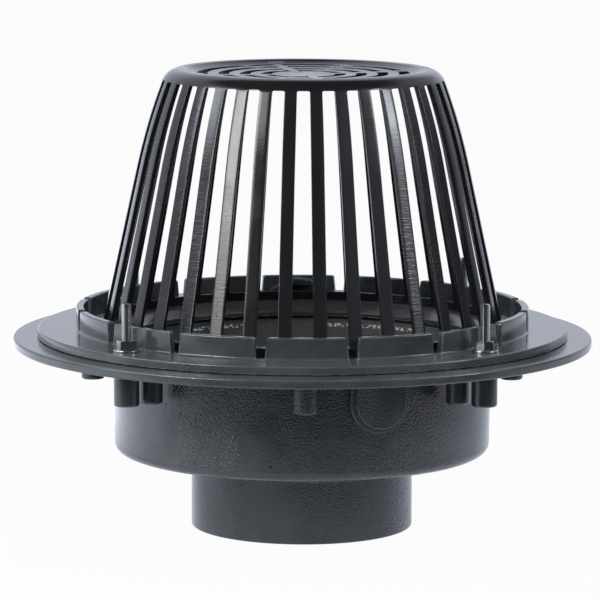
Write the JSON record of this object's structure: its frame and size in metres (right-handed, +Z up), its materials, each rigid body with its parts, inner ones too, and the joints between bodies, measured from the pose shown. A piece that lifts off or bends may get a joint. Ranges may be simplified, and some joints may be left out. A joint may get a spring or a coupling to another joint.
{
  "type": "flat roof drain",
  "caption": "Flat roof drain: cast sump body with roof flange and pipe outlet, clamping ring with slotted gravel guard, and slatted dome strainer.",
  "frame": {"origin": "on the drain's axis at the open end of the outlet, the lowest point of the part", "axes": "+Z up along the drain's axis, from the outlet to the dome; -Y towards the side with the round pad on the sump, +X to the right of it"},
  "size_m": [0.3809, 0.381, 0.3024],
  "materials": {
    "casting_paint": "cast iron with a semi-gloss dark blue-grey coating over a slightly rough cast skin",
    "dome_plastic": "black, moulded, semi-gloss",
    "zinc": "bright zinc-plated steel"
  },
  "bodies": {
    "root": {"drain_body": "casting_paint", "clamp_ring": "casting_paint", "dome_strainer": "dome_plastic", "stud_1": "zinc", "stud_2": "zinc", "stud_3": "zinc", "stud_4": "zinc", "nut_1": "zinc", "nut_2": "zinc", "nut_3": "zinc", "nut_4": "zinc", "washer_1": "zinc", "washer_2": "zinc", "washer_3": "zinc", "washer_4": "zinc"}
  },
  "joints": []
}
